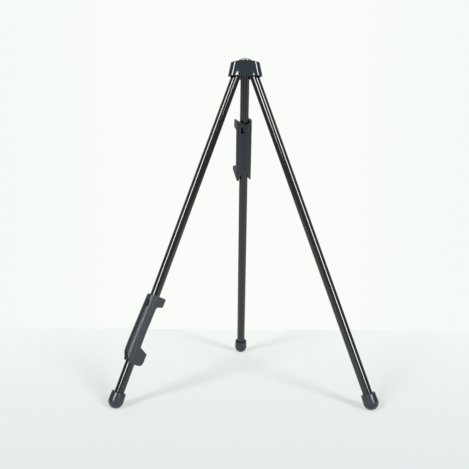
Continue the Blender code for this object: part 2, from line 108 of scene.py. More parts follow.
# Most of a noise pattern lies between these values
NOISE_SPREAD = (0.3, 0.7)

# The backdrop: how far its edge leans, where its white starts and is full, and where the painted shade at its
# sides starts and is full
BACKDROP_LEAN = 0.45
BACKDROP_WHITE = (0.62, 0.75)
BACKDROP_SIDE_SHADE = (0.10, 0.36)

# The stage: where its panels face, the overhead panel, and half the table
EYE = Vector((0, -0.03, 0.18))
OVERHEAD_AT = Vector((0, 0.40, 1.70))
OVERHEAD_SIZE = (1.2, 1.2)
TABLE_HALF = (1.8, 1.2)

# The camera, as fitted to the photograph
CAMERA_AT = Vector((-0.012134, -0.716352, 0.217))
CAMERA_RIGHT = Vector((0.9999654, -0.0029253, 0.0077845))
CAMERA_UP = Vector((-0.0075311, 0.0784485, 0.9968897))
SENSOR_WIDTH = 36


def length(name, description, default):
    options = {"min": 0, "precision": 5, "unit": "LENGTH"}
    return FloatProperty(name=name, description=description, default=default, **options)


def angle(name, description, degrees):
    return FloatProperty(name=name, description=description, default=math.radians(degrees), subtype="ANGLE")


def colour(name, description, default):
    options = {"size": 3, "min": 0, "max": 1, "subtype": "COLOR"}
    return FloatVectorProperty(name=name, description=description, default=default, **options)


def factor(name, description, default):
    return FloatProperty(name=name, description=description, default=default, min=0, max=1, subtype="FACTOR")


def level(name, description, default):
    return FloatProperty(name=name, description=description, default=default, min=0)


class EaselLegs(bpy.types.PropertyGroup):
    """Sizes of the leg tubes and feet"""

    tube_diameter: length("Tube diameter", "Outer diameter of a leg tube", 0.009525)
    tube_wall: length("Tube wall", "Wall of a leg tube", 0.0008)
    tube_top: length("Tube top", "From the pivot down to the tube's top end", 0.0025)
    tube_round: length("Tube edge", "Rounding of the tube's cut ends", 0.0002)
    tilt: angle("Tilt", "Lean of an open leg from upright", math.degrees(math.acos(-SLIDE.z)))
    reach: length("Reach", "From the pivot down to the centre of the foot's ball", 0.3535)
    clearance: length("Clearance", "Kept between pieces that touch or run on each other", 0.0003)
    foot_wall: length("Foot wall", "Wall of the foot at its ball", 0.00235)
    foot_rim_wall: length("Foot rim wall", "Wall of the foot at its mouth", 0.0020)
    foot_cup: length("Foot cup", "From the ball's centre up to the mouth", 0.0086)
    foot_sole: length("Foot sole", "Rubber under the tube's end", 0.0058)
    foot_rim_round: length("Foot rim", "Outer rounding of the foot's mouth", 0.0006)
    foot_mouth_round: length("Foot mouth", "Inner rounding of the foot's mouth", 0.0004)
    foot_floor_round: length("Foot floor", "Rounding at the bottom of the foot's bore", 0.0004)
    foot_shoulder: length("Foot shoulder", "From the ball's centre up to where its side draws in", 0.0010)
    foot_draw: length("Foot draw", "How far the side has drawn in at the shoulder", 0.00004)


class EaselHub(bpy.types.PropertyGroup):
    """Sizes of the hub's shell and cap"""

    dome_radius: length("Dome", "Radius of the shell's domed top", 0.0460)
    wall: length("Wall", "Wall of the skirt", 0.0010)
    gap: length("Gap", "Kept between the shell and the pieces in it", 0.0003)
    crisp_round: length("Other edges", "Rounding of the shell's other sharp edges", 0.00008)
    rim_round: length("Rim", "Rounding between the skirt and the dome", 0.0006)
    skirt_drop: length("Skirt drop", "How far the skirt reaches below the packed shell", 0.0008)
    foot_round: length("Lower edge", "Rounding of the skirt's lower edge", 0.00025)
    socket_radius: length("Socket", "Outer radius of a leg socket", 0.0060625)
    socket_flare: length("Flare", "How far a socket moves out from the top to the lower edge", 0.0040)
    socket_swell: length("Swell", "How far a socket stands out of the walls at the lower edge", 0.0011)
    socket_flank: length("Flank", "Width of the slope between a socket and a wall", 0.0061)
    cap_radius: length("Cap", "Radius of the cap", 0.0076)
    cap_edge: length("Cap edge", "Height of the cap's edge above the shell", 0.0004)
    cap_round: length("Cap rounding", "Rounding of the cap's edge", 0.00025)
    cap_base_round: length("Cap base", "Rounding of the cap's lower edge", 0.0002)
    cap_roof: length("Cap roof", "Thickness of the cap over its pocket", 0.0013)
    cap_pocket: length("Cap pocket", "Radius of the pocket under the cap", 0.0036)
    seat_depth: length("Seat", "Depth of the cap's seat in the shell", 0.0006)
    screw_hole: length("Screw hole", "Radius of the hole under the cap", 0.0015)


class EaselHolders(bpy.types.PropertyGroup):
    """Sizes of the clip-on holders and their grip sleeves"""

    over_sleeve: length("Over the sleeve", "From the sleeve's middle up to the holder's top", 0.0220)
    holder_length: length("Length", "Length of a holder along its leg", 0.0690)
    half_width: length("Half width", "Outer radius of the trough", 0.0083625)
    wall: length("Wall", "Wall of the moulding", 0.0015)
    front: length("Front", "Trough's front edge in front of the tube's axis", 0.0025)
    taper: length("Taper", "How far the back draws in at the lower end", 0.0010)
    taper_length: length("Taper length", "Length of the taper", 0.0200)
    upper_ear: length("Upper ear", "Reach of the upper ears from the tube's axis", 0.0084625)
    upper_ear_length: length("Upper ear length", "Upper ear along the leg, at its tip", 0.0088)
    upper_ear_slope: angle("Upper ear slope", "Slope of the upper ear's lower edge", 18)
    upper_ear_round: length("Upper ear corner", "Rounding of the upper ear's corners", 0.0018)
    ear_fillet: length("Ear fillet", "Fillet under the upper ear", 0.0026)
    lower_ear: length("Lower ear", "Reach of the lower ears from the tube's axis", 0.0115625)
    lower_ear_length: length("Lower ear length", "Lower ear along the leg, at its root", 0.0176)
    lower_ear_round: length("Lower ear corner", "Rounding of the lower ear's toe", 0.0042)
    toe_edge: length("Toe edge", "Front edge of the lower ear that is cut back", 0.0036)
    toe_round: length("Toe corner", "Rounding where that ear meets the trough's lower end", 0.0010)
    rest_slope: angle("Rest slope", "Slope of the board rest", 27)
    rest_round: length("Rest corner", "Rounding at both ends of the board rest", 0.0014)
    window_turn: angle("Window turn", "Turn of a window from the middle of the back", 33)
    window_width: length("Window width", "Width of a window", 0.0040)
    window_length: length("Window length", "Length of a window", 0.0064)
    window_drop: length("Window drop", "From the holder's top down to a window", 0.0061)
    window_round: length("Window corner", "Rounding of a window's corners", 0.0005)
    top_dip: length("Top dip", "How far the top edge dips at the middle of the back", 0.0026)
    top_dip_turn: angle("Top dip's reach", "Turn from the middle of the back to the end of the dip", 78)
    arch_height: length("Arch", "Height of the arch in the back's lower end", 0.0100)
    arch_side: length("Arch side", "Wall left beside the arch", 0.0006)
    lip_length: length("Lip length", "Length of a snap lip", 0.0050)
    lip_grip: length("Lip grip", "How far a snap lip reaches round the tube", 0.0014)
    lip_thickness: length("Lip thickness", "Thickness of a snap lip at its root", 0.0009)
    upper_lip: length("Upper lip", "From the holder's top down to the upper lips", 0.0030)
    lower_lip: length("Lower lip", "From the holder's lower end up to the lower lips", 0.0066)
    web: length("Web", "Thickness of the ledges that keep the sleeve", 0.0014)
    sleeve_length: length("Sleeve length", "Length of the grip sleeve", 0.0100)
    sleeve_play: length("Sleeve play", "Play between the sleeve and the trough", 0.0005007)
    sleeve_round: length("Sleeve edges", "Rounding of the sleeve's edges", 0.0003)
    sleeve_opening: angle("Sleeve opening", "Opening of the split sleeve", 110)
    edge_round: length("Edges", "Rounding of the moulding's edges", 0.00032)
    lean: angle("Lean", "Lean of the left holder on its tube", 2.3)
    left_turn: angle("Left turn", "Turn of the left holder from facing away from the hub", 175)
    rear_turn: angle("Rear turn", "Turn of the rear holder from facing away from the hub", 22)


class EaselFinishes(bpy.types.PropertyGroup):
    """Colours of the finishes"""

    tube_paint: colour("Tube paint", "Gloss paint on the leg tubes", (0.0080, 0.0084, 0.0090))
    hub_plastic: colour("Hub plastic", "Gloss moulding of the hub and its cap", (0.0128, 0.0182, 0.0205))
    holder_plastic: colour("Holder plastic", "Satin moulding of the holders", (0.0142, 0.0192, 0.0232))
    foot_rubber: colour("Foot rubber", "Rubber of the feet", (0.0125, 0.0185, 0.0240))
    black_nylon: colour("Black nylon", "Moulding of the carrier and plugs", (0.0180, 0.0190, 0.0210))
    grip_rubber: colour("Grip rubber", "Rubber of the grip sleeves", (0.0160, 0.0160, 0.0180))
    zinc_steel: colour("Zinc steel", "Plated screw, washer and pins", (0.5600, 0.5600, 0.5700))
    dust: colour("Dust", "Dust and rub marks", (0.3000, 0.3000, 0.2900))


class EaselStage(bpy.types.PropertyGroup):
    """Table, backdrop, lights and camera"""

    table: colour("Table", "Colour of the table top at its back", (0.890, 0.925, 0.885))
    # Painted shade: the table is darker at its front, to even out the stronger light that the front panels
    # give there.
    table_front_painted_shade: colour("Table's front", "Colour of the table top nearest the camera", (0.705, 0.748, 0.758))
    table_glow: factor("Table glow", "Share of the table's colour that shows without light", 0.5)
    table_back: length("Table's back edge", "From the middle of the easel to the table's back edge", 0.235)
    table_fade: length("Table's fade", "From the middle of the easel to where the front colour is full", 0.40)
    backdrop: colour("Backdrop", "Colour of the backdrop in the middle", (0.960, 0.974, 0.947))
    # Painted shade: the backdrop is darker at its sides, as though less light reaches them.
    backdrop_side_painted_shade: colour("Backdrop's sides", "Colour of the backdrop at its sides", (0.913, 0.956, 0.921))
    room: colour("Room", "Dim room in front of the easel", (0.20, 0.215, 0.225))
    panel_level: level("Panel level", "Brightness of the two front panels", 19.0)
    panel_distance: length("Panel distance", "From the easel to the front panels", 8.0)
    panel_width: angle("Panel width", "Width of a front panel, seen from the easel", 15)
    panel_top: angle("Panel top", "Height of a front panel's upper edge, seen from the easel", 42)
    left_panel: angle("Left panel", "Turn of the left panel from the front", -34)
    left_panel_low: angle("Left panel's lower edge", "Height of that edge, seen from the easel", 10)
    left_panel_card: angle("Left panel's card", "Height below which a card keeps it off the other leg", 14.2)
    right_panel: angle("Right panel", "Turn of the right panel from the front", 33)
    right_panel_low: angle("Right panel's lower edge", "Height of that edge, seen from the easel", 9)
    right_panel_card: angle("Right panel's card", "Height below which a card keeps it off the other leg", 20)
    overhead_level: level("Overhead level", "Brightness of the overhead panel", 0.7)
    lens: FloatProperty(name="Lens", description="Focal length of the camera", default=49.638, unit="CAMERA")


# Shapes


def wire(shape, points, closed):
    """Edges through points, round to the first one again if closed."""
    verts = [shape.verts.new(point) for point in points]
    for pair in zip(verts, verts[1:] + verts[:1] if closed else verts[1:]):
        shape.edges.new(pair)
    return verts


def round_off(shape, geom, offset, segments, affect):
    """Bevels vertices or edges round."""
    bmesh.ops.bevel(
        shape,
        geom=geom,
        offset=offset,
        offset_type="OFFSET",
        segments=segments,
        profile=0.5,
        affect=affect,
        material=-1,
    )


def round_corners(shape, corners, segments):
    """Rounds wire corners, given as pairs of vertex and radius."""
    for vert, radius in corners:
        if radius:
            ahead, back = [(edge.other_vert(vert).co - vert.co).normalized() for edge in vert.link_edges]
            half = (math.pi - ahead.angle(back)) / 2
            round_off(shape, [vert], radius * math.tan(half), segments, "VERTICES")


def profile(shape, corners, closed, segments):
    """A wire in the XZ plane through corners, each with its radius, height and rounding."""
    verts = wire(shape, [(x, 0, z) for x, z, _ in corners], closed)
    round_corners(shape, [(vert, corner[2]) for vert, corner in zip(verts, corners)], segments)
    return verts


def swing(shape, vert, centre, turn, steps):
    """Draws an arc in the XZ plane by swinging a vertex about a centre, and gives its end."""
    made = bmesh.ops.spin(
        shape, geom=[vert], cent=(centre[0], 0, centre[1]), axis=(0, 1, 0), angle=turn, steps=steps
    )
    return next(item for item in made["geom_last"] if isinstance(item, bmesh.types.BMVert))


def tidy(shape):
    """Merges doubles and points the faces outwards."""
    bmesh.ops.remove_doubles(shape, verts=shape.verts[:], dist=MERGE)
    bmesh.ops.recalc_face_normals(shape, faces=shape.faces[:])


def turn_round(shape, steps):
    """Spins a profile a full turn about Z into a closed skin."""
    bmesh.ops.spin(
        shape,
        geom=shape.verts[:] + shape.edges[:],
        cent=(0, 0, 0),
        axis=(0, 0, 1),
        angle=math.tau,
        steps=steps,
        use_merge=True,
    )
    tidy(shape)


def next_ring(shape, ring, points):
    """Skins a closed ring of vertices on to the next ring of points, one to one."""
    edges = [shape.edges.get(pair) for pair in zip(ring, ring[1:] + ring[:1])]
    made = bmesh.ops.extrude_edge_only(shape, edges=edges)["geom"]
    fresh = {item for item in made if isinstance(item, bmesh.types.BMVert)}
    others = [next(v for e in vert.link_edges if (v := e.other_vert(vert)) in fresh) for vert in ring]
    for vert, point in zip(others, points):
        vert.co = point
    return others


def put(name, data):
    """A new object in the scene, at the origin."""
    made = bpy.data.objects.new(name, data)
    bpy.context.scene.collection.objects.link(made)
    return made


def piece(name, shape, place, finish, body, nodes):
    """Turns a shape, made in its own frame, into a piece of the easel that rides on a body.
    Each point keeps its own place as an attribute, which the finish's patterns follow."""
    own = shape.verts.layers.float_vector.new(OWN)
    for vert in shape.verts:
        vert[own] = vert.co
    bmesh.ops.transform(shape, matrix=place, verts=shape.verts[:])
    mesh = bpy.data.meshes.new(name)
    shape.to_mesh(mesh)
    shape.free()
    mesh.shade_smooth()
    mesh.materials.append(finish)
    made = put(name, mesh)
    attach(made, body)
    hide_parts(*nodes)
    return made


# Where the pieces stand


def pivot(side):
    return Vector(JOINTS[f"{side}_leg_fold"]["pos_m"])


def hub_axis():
    """Hub's frame: upright, in the middle of the three pivots."""
    middle = sum((pivot(side) for side in SIDES), Vector()) / len(SIDES)
    return Matrix.Translation((middle.x, middle.y, 0))


def leg_place(side, tilt):
    """Leg's frame: its pivot, with Y along the hinge and Z up the leg."""
    hinge = Vector(JOINTS[f"{side}_leg_fold"]["axis"]).normalized()
    out = hinge.cross(Vector((0, 0, 1)))
    up = Vector((0, 0, math.cos(tilt))) - out * math.sin(tilt)
    turn = Matrix((hinge.cross(up), hinge, up)).transposed().to_4x4()
    return Matrix.Translation(pivot(side)) @ turn


def clip_place(side, easel):
    """Sleeve's frame: on the leg's axis, with X towards the holder's hooks and Z up the leg."""
    leg = leg_place(side, easel.legs.tilt)
    at = Vector(JOINTS[f"{side}_holder_turn"]["pos_m"])
    turn = {"left": easel.holders.left_turn, "rear": easel.holders.rear_turn}[side]
    return Matrix.Translation(at) @ leg.to_3x3().to_4x4() @ Matrix.Rotation(turn, 4, "Z")


# Finishes


def add(tree, kind, values=None, **settings):
    """A new node with its settings, and a value or a link on each socket named."""
    node = tree.nodes.new(kind)
    for key, value in settings.items():
        setattr(node, key, value)
    for key, value in (values or {}).items():
        if isinstance(value, bpy.types.NodeSocket):
            tree.links.new(value, node.inputs[key])
        else:
            node.inputs[key].default_value = value
    return node


def grain(tree, place, scale, detail=2.0, roughness=0.5):
    """Noise between 0 and 1 with so many features to the metre."""
    values = {"Vector": place, "Scale": scale, "Detail": detail, "Roughness": roughness}
    return add(tree, "ShaderNodeTexNoise", values).outputs["Fac"]


def ramp(tree, value, low, high, to_low=0.0, to_high=1.0):
    """A value between low and high, spread over another range and held at its ends."""
    values = {"Value": value, "From Min": low, "From Max": high, "To Min": to_low, "To Max": to_high}
    return add(tree, "ShaderNodeMapRange", values, clamp=True).outputs["Result"]


def maths(tree, operation, first, second):
    return add(tree, "ShaderNodeMath", {0: first, 1: second}, operation=operation).outputs[0]


def blend(tree, amount, first, second):
    """Mix of two colours."""
    node = add(tree, "ShaderNodeMix", {0: amount}, data_type="RGBA")
    for index, value in ((6, first), (7, second)):
        if isinstance(value, bpy.types.NodeSocket):
            tree.links.new(value, node.inputs[index])
        else:
            node.inputs[index].default_value = (*value, 1)
    return node.outputs[2]


def stretched(tree, place, scale):
    """The same place, scaled along each axis."""
    return add(tree, "ShaderNodeMapping", {"Vector": place, "Scale": scale}).outputs["Vector"]


def own_place(tree):
    """A point's place in its piece's own frame."""
    return add(tree, "ShaderNodeAttribute", attribute_name=OWN).outputs["Vector"]


def object_place(tree):
    return add(tree, "ShaderNodeTexCoord").outputs["Object"]


def bump(tree, height, distance, under=None):
    values = {"Strength": 1.0, "Distance": distance, "Height": height}
    if under:
        values["Normal"] = under
    return add(tree, "ShaderNodeBump", values).outputs["Normal"]


def finish(name, values):
    """A material with one Principled shader."""
    material = bpy.data.materials.new(name)
    material.use_nodes = True
    tree = material.node_tree
    tree.nodes.clear()
    shader = add(tree, "ShaderNodeBsdfPrincipled", values)
    output = add(tree, "ShaderNodeOutputMaterial")
    tree.links.new(shader.outputs["BSDF"], output.inputs["Surface"])
    return material, tree, shader


def wear_to(tree, shader, **links):
    """Links patterns to the shader's sockets."""
    for key, value in links.items():
        tree.links.new(value, shader.inputs[key.replace("_", " ")])


def mottled(tree, pattern, paint, dark, light):
    """A colour that goes darker and lighter with a pattern, by shares of itself."""
    shades = [tuple(channel * share for channel in paint) for share in (dark, light)]
    return blend(tree, pattern, *shades)


def dusted(tree, base, dust, pattern, share):
    """A colour with dust in a pattern, at most a share of it."""
    return blend(tree, maths(tree, "MULTIPLY", pattern, share), base, tuple(dust))


def clouded(tree, pattern, low, high, wear=None, change=0.0):
    """A roughness that wanders between two values with a pattern, and changes where it is worn."""
    rough = ramp(tree, pattern, *NOISE_SPREAD, low, high)
    return maths(tree, "ADD", rough, maths(tree, "MULTIPLY", wear, change)) if wear else rough


def streaks(tree, place, scale, low, high):
    """Streaks with so many to the metre along each axis, out of noise from low to high."""
    return ramp(tree, grain(tree, stretched(tree, place, scale), 1, 2), low, high)


def patched(tree, streak, place, scale, low):
    """Streaks in some patches only, with so many patches to the metre."""
    full = 0.68
    return maths(tree, "MULTIPLY", streak, ramp(tree, grain(tree, place, scale, 2), low, full))


def gloss_paint(easel):
    """Sprayed gloss black: orange peel, fine rubs along the tube and specks of dust."""
    material, tree, shader = finish("gloss_black_paint", {"IOR": 1.60})
    paint, dust = easel.finishes.tube_paint, easel.finishes.dust
    place = own_place(tree)
    cloud = grain(tree, place, 90, 3)
    rubbed = patched(tree, streaks(tree, place, (3600, 3600, 70), 0.66, 0.74), place, 45, 0.48)
    specks = ramp(tree, grain(tree, place, 2600, 1), 0.80, 0.86)
    base = dusted(tree, mottled(tree, cloud, paint, 0.85, 1.15), dust, rubbed, 0.02)
    base = dusted(tree, base, dust, specks, 0.12)
    rough = clouded(tree, cloud, 0.05, 0.09, rubbed, 0.10)
    peel = bump(tree, grain(tree, place, 650, 2), 0.000006)
    wear_to(tree, shader, Base_Color=base, Roughness=rough, Normal=peel)
    return material


def gloss_moulding(easel, name, polish):
    """Polished black moulding: faint flow marks, hairline rubs and dust. Polish is a clear coat."""
    gloss = {"IOR": 1.58, "Coat Weight": polish, "Coat IOR": 1.70, "Coat Roughness": 0.04}
    material, tree, shader = finish(name, gloss)
    paint, dust = easel.finishes.hub_plastic, easel.finishes.dust
    place = own_place(tree)
    flow = grain(tree, stretched(tree, place, (1.0, 1.0, 0.35)), 260, 3)
    hairs = streaks(tree, place, (500, 2600, 900), 0.69, 0.76)
    specks = ramp(tree, grain(tree, place, 2400, 1), 0.79, 0.85)
    base = dusted(tree, mottled(tree, flow, paint, 0.85, 1.2), dust, hairs, 0.02)
    base = dusted(tree, base, dust, specks, 0.12)
    rough = clouded(tree, flow, 0.06, 0.11, hairs, 0.08)
    waves = bump(tree, grain(tree, place, 420, 2), 0.000012)
    wear_to(tree, shader, Base_Color=base, Roughness=rough, Normal=waves)
    return material


def satin_moulding(easel):
    """Grey moulding with a fine spark grain, cloudy in tone and rubbed here and there."""
    material, tree, shader = finish("grey_satin_moulding", {"IOR": 1.47})
    paint, dust = easel.finishes.holder_plastic, easel.finishes.dust
    place = own_place(tree)
    cloud = grain(tree, place, 140, 3)
    fine = grain(tree, place, 2600, 2)
    spark = grain(tree, place, 4800, 2, 0.6)
    rubbed = patched(tree, streaks(tree, place, (1900, 1900, 160), 0.66, 0.74), place, 95, 0.50)
    base = mottled(tree, cloud, paint, 0.88, 1.12)
    deeper = [channel * 0.92 for channel in paint]
    base = blend(tree, ramp(tree, fine, 0.35, 0.65, 0.0, 0.5), base, deeper)
    base = dusted(tree, base, dust, rubbed, 0.07)
    rough = clouded(tree, cloud, 0.36, 0.44, rubbed, -0.05)
    skin = bump(tree, spark, 0.000022, bump(tree, fine, 0.000010))
    wear_to(tree, shader, Base_Color=base, Roughness=rough, Normal=skin)
    return material


def foot_rubber(easel):
    """Grey moulded rubber: a fine skin, and dust that gathers towards the floor."""
    material, tree, shader = finish("grey_rubber", {"IOR": 1.50})
    paint, dust = easel.finishes.foot_rubber, easel.finishes.dust
    place = own_place(tree)
    cloud = grain(tree, place, 170, 3)
    pores = grain(tree, place, 3000, 2)
    height = add(tree, "ShaderNodeSeparateXYZ", {0: object_place(tree)}).outputs["Z"]
    low = maths(tree, "MULTIPLY", ramp(tree, height, 0.0030, 0.0, 0.0, 0.35), ramp(tree, pores, 0.4, 0.65))
    base = blend(tree, low, mottled(tree, cloud, paint, 0.88, 1.12), tuple(dust))
    rough = clouded(tree, cloud, 0.24, 0.32)
    skin = bump(tree, pores, 0.000014, bump(tree, cloud, 0.00003))
    wear_to(tree, shader, Base_Color=base, Roughness=rough, Normal=skin)
    return material


def grip_rubber(easel):
    """Soft black rubber with a matt skin."""
    material, tree, shader = finish("black_rubber", {"IOR": 1.50})
    paint, dust = easel.finishes.grip_rubber, easel.finishes.dust
    place = own_place(tree)
    cloud = grain(tree, place, 380, 3)
    pores = grain(tree, place, 3400, 2)
    base = mottled(tree, cloud, paint, 0.8, 1.25)
    base = blend(tree, ramp(tree, pores, 0.62, 0.76, 0.0, 0.12), base, tuple(dust))
    rough = clouded(tree, pores, 0.62, 0.80)
    wear_to(tree, shader, Base_Color=base, Roughness=rough, Normal=bump(tree, pores, 0.00003))
    return material


def nylon_moulding(easel):
    """Black nylon: satin, with a faint tool grain and whitish rubs."""
    material, tree, shader = finish("black_nylon", {"IOR": 1.53})
    paint, dust = easel.finishes.black_nylon, easel.finishes.dust
    place = object_place(tree)
    cloud = grain(tree, place, 320, 3)
    tool = grain(tree, stretched(tree, place, (2600, 2600, 500)), 1, 2)
    base = mottled(tree, cloud, paint, 0.82, 1.2)
    base = blend(tree, ramp(tree, tool, 0.66, 0.80, 0.0, 0.10), base, tuple(dust))
    rough = clouded(tree, cloud, 0.38, 0.52)
    wear_to(tree, shader, Base_Color=base, Roughness=rough, Normal=bump(tree, tool, 0.00001))
    return material


def plated_steel(easel):
    """Bright zinc plate: cloudy spangle and fine turning marks."""
    material, tree, shader = finish("zinc_steel", {"Metallic": 1.0})
    paint = easel.finishes.zinc_steel
    place = object_place(tree)
    cloud = grain(tree, place, 900, 3)
    marks = grain(tree, stretched(tree, place, (600, 600, 9000)), 1, 1)
    base = mottled(tree, cloud, paint, 0.82, 1.12)
    rough = clouded(tree, cloud, 0.26, 0.40)
    wear_to(tree, shader, Base_Color=base, Roughness=rough, Normal=bump(tree, marks, 0.000004))
    return material


# Pieces


def socket_reach(hub, z):
    """Distance of a socket's centre from the hub's axis at a height."""
    skirt = SHELL_HIGH.y - hub_axis().translation.y
    return skirt - hub.socket_radius - hub.socket_flare * (z - SHELL_LOW.z) / skirt_height(hub)


def skirt_height(hub):
    return dome_height(hub, 0) - SHELL_LOW.z


def dome_height(hub, radius):
    """Height of the shell's domed top at a distance from the axis."""
    here, seat = (math.sqrt(hub.dome_radius**2 - r**2) for r in (radius, hub.cap_radius + hub.gap))
    return SHELL_HIGH.z + here - seat


def hub_outline(hub, z, inset):
    """Outline of the shell at a height, set in from its outer face: an arc round each socket,
    then a wall that dips between two sockets. No operator makes this outline."""
    third = math.radians(120)
    reach = socket_reach(hub, z)
    swell = hub.socket_swell * (dome_height(hub, 0) - z) / skirt_height(hub)
    wall = reach * math.sqrt(3)
    flanks = [hub.socket_flank * i / FLANK_STEPS for i in range(1, FLANK_STEPS + 1)]
    points = []
    for azimuth in map(math.radians, SOCKET_TURNS):
        centre = Vector((math.cos(azimuth), math.sin(azimuth))) * reach
        for step in range(SOCKET_STEPS + 1):
            turn = azimuth + third * (step / SOCKET_STEPS - 0.5)
            points.append(centre + Vector((math.cos(turn), math.sin(turn))) * (hub.socket_radius - inset))
        facing = azimuth + third / 2
        out = Vector((math.cos(facing), math.sin(facing)))
        along = Vector((-out.y, out.x))
        start = points[-1]
        for run in [*flanks, *(wall - step for step in reversed(flanks))]:
            near = min(run, wall - run) / hub.socket_flank
            points.append(start + along * run - out * swell * (1 - math.cos(math.pi * near)) / 2)
    return points


def at_height(points, z):
    return [(x, y, z) for x, y in points]


def circle(hub, radius, z):
    """A circle with a point for each point of the hub's outline."""
    count = len(hub_outline(hub, z, 0))
    start = math.radians(30)
    turns = [start + math.tau * i / count for i in range(count)]
    return [(radius * math.cos(a), radius * math.sin(a), z) for a in turns]


def rim(hub, inset, drop):
    """The outline where the skirt meets the dome, or a drop below that. It takes a few passes,
    because the outline depends on the height and the height on the outline."""
    flat = hub_outline(hub, SHELL_HIGH.z, inset)
    for _ in range(RIM_PASSES):
        heights = [dome_height(hub, point.length) - drop for point in flat]
        levels = {z: hub_outline(hub, z, inset) for z in heights}
        flat = [levels[z][i] for i, z in enumerate(heights)]
    return [(*point, z) for point, z in zip(flat, heights)]


def hub_shell(hub):
    """The shell, skinned ring by ring: over the dome, down the skirt, up inside and into the seat."""
    shape = bmesh.new()
    seat = hub.cap_radius + hub.gap
    seat_z = SHELL_HIGH.z - hub.seat_depth
    roof_z = CARRIER_TOP + hub.gap
    low = SHELL_LOW.z - hub.skirt_drop
    edge = hub.foot_round
    top_rim = rim(hub, hub.rim_round, 0)
    mouth = circle(hub, seat, SHELL_HIGH.z)
    rings = [mouth]
    for share in DOME_ROWS:
        row = [Vector(a).lerp(Vector(b), share) for a, b in zip(mouth, top_rim)]
        rings.append([(p.x, p.y, dome_height(hub, p.to_2d().length)) for p in row])
    for turn in map(math.radians, RIM_TURNS):
        rings.append(rim(hub, hub.rim_round * (1 - math.cos(turn)), hub.rim_round * (1 - math.sin(turn))))
    side = rings[-1]
    for share in SKIRT_ROWS:
        heights = [point[2] + (low + edge - point[2]) * share for point in side]
        rings.append([(*hub_outline(hub, z, 0)[i], z) for i, z in enumerate(heights)])
    outside = [(turn, False) for turn in EDGE_TURNS]
    inside = [(turn, True) for turn in reversed(EDGE_TURNS)]
    for turn, within in outside + inside:
        z = low + edge * (1 - math.sin(math.radians(turn)))
        inset = edge * (1 - math.cos(math.radians(turn)))
        rings.append(at_height(hub_outline(hub, z, hub.wall - inset if within else inset), z))
    for share in INSIDE_ROWS:
        z = low + edge + (roof_z - low - edge) * share
        rings.append(at_height(hub_outline(hub, z, hub.wall), z))
    rings.append(circle(hub, hub.screw_hole, roof_z))
    rings.append(circle(hub, hub.screw_hole, seat_z))
    rings.append(circle(hub, seat, seat_z))
    ring = wire(shape, mouth, closed=True)
    for points in [*rings[1:], mouth]:
        ring = next_ring(shape, ring, points)
    tidy(shape)
    crisp = [e for e in shape.edges if e.calc_face_angle(0) > SHELL_CRISP]
    round_off(shape, crisp, hub.crisp_round, 2, "EDGES")
    return shape


def hub_cap(hub):
    """The cap: a low dome with a pocket under it for the screw's head."""
    shape = bmesh.new()
    crown, base = CAP_HIGH.z, CAP_LOW.z
    edge = SHELL_HIGH.z + hub.cap_edge
    rise = crown - edge
    bend = (hub.cap_radius**2 + rise**2) / (2 * rise)
    top = shape.verts.new((0, 0, crown))
    corner = swing(shape, top, (0, crown - bend), math.asin(hub.cap_radius / bend), CAP_ARC_STEPS)
    roof = crown - hub.cap_roof
    under = [(hub.cap_radius, base), (hub.cap_pocket, base), (hub.cap_pocket, roof), (0, roof)]
    verts = wire(shape, [(x, 0, z) for x, z in under], closed=False)
    shape.edges.new((corner, verts[0]))
    round_corners(shape, [(corner, hub.cap_round), (verts[0], hub.cap_base_round)], segments=4)
    turn_round(shape, CAP_TURN_STEPS)
    return shape


def leg_tube(legs):
    """The tube, with a row of points near each end that keeps its long sides straight."""
    shape = bmesh.new()
    outer = legs.tube_diameter / 2
    bore = outer - legs.tube_wall
    top = -legs.tube_top
    ball = outer + legs.clearance + legs.foot_wall
    end = legs.foot_sole - ball - legs.reach + legs.clearance
    hold = 0.0008
    soft = legs.tube_round
    corners = [
        (bore, top, soft),
        (outer, top, soft),
        (outer, top - hold, 0),
        (outer, end + hold, 0),
        (outer, end, soft),
        (bore, end, soft),
        (bore, end + hold, 0),
        (bore, top - hold, 0),
    ]
    profile(shape, corners, closed=True, segments=3)
    turn_round(shape, TURN_STEPS)
    return shape


def rubber_foot(legs):
    """The foot: a ball with a bore for the tube and a cup above it."""
    shape = bmesh.new()
    bore = legs.tube_diameter / 2 + legs.clearance
    ball = bore + legs.foot_wall
    floor = legs.foot_sole - ball - legs.reach
    mouth = legs.foot_cup - legs.reach
    corners = [
        (0, floor, 0),
        (bore, floor, legs.foot_floor_round),
        (bore, mouth, legs.foot_mouth_round),
        (bore + legs.foot_rim_wall, mouth, legs.foot_rim_round),
        (ball - legs.foot_draw, legs.foot_shoulder - legs.reach, 0),
        (ball, -legs.reach, 0),
    ]
    verts = profile(shape, corners, closed=False, segments=5)
    swing(shape, verts[-1], (0, -legs.reach), math.pi / 2, FOOT_ARC_STEPS)
    turn_round(shape, TURN_STEPS)
    return shape


def lower_end(holders):
    """Height of the holder's lower end, from the sleeve's middle."""
    return holders.over_sleeve - holders.holder_length


def quarter(holders):
    """A quarter turn of the trough's wall, rolled flat."""
    return holders.half_width * math.pi / 2


